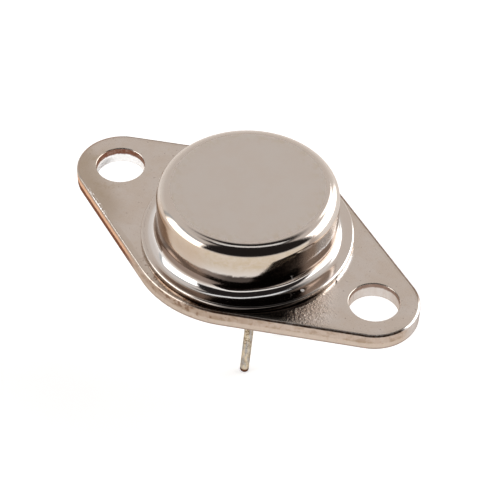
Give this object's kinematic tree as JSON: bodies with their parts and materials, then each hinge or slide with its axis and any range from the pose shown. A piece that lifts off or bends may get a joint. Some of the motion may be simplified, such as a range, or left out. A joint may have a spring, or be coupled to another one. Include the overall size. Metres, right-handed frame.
{
  "type": "thyristor",
  "caption": "Thyristor in a round nickel-plated metal can on a diamond-shaped flange, with a screw hole at each end of the flange and stiff wire leads in glass seals below.",
  "frame": {"origin": "centre of the base plate's flat underside, midway between the mounting holes", "axes": "+Z from the seating face up through the cap; +X along the line of mounting holes, towards the hole that the leads lie nearer to; the leads point along -Z"},
  "size_m": [0.0312, 0.0176, 0.0171],
  "materials": {
    "plated_base": "satin nickel plating on stamped steel, with a coppery tone on the sheared edges",
    "plated_cap": "bright satin nickel plating on drawn steel",
    "lead_wire": "nickel-iron wire with a dull, yellowed nickel plating",
    "seal_glass": "dark green-grey sealing glass, fire-polished",
    "copper": "bare copper",
    "braze": "copper-silver braze",
    "solder": "dull lead-tin solder",
    "molybdenum": "lapped molybdenum",
    "silicon": "metallised silicon",
    "varnish": "milky silicone varnish",
    "clip_metal": "tinned sheet"
  },
  "bodies": {
    "root": {"base_plate": "plated_base", "cap": "plated_cap", "cathode_lead": "lead_wire", "gate_lead": "lead_wire", "cathode_seal": "seal_glass", "gate_seal": "seal_glass", "spreader_braze": "braze", "heat_spreader": "copper", "molybdenum_solder": "solder", "molybdenum_disc": "molybdenum", "die_solder": "solder", "thyristor_die": "silicon", "junction_coating": "varnish", "cathode_foot_solder": "solder", "gate_foot_solder": "solder", "cathode_clip": "clip_metal", "gate_clip": "clip_metal", "cathode_head_solder": "solder", "gate_head_solder": "solder"}
  },
  "joints": []
}
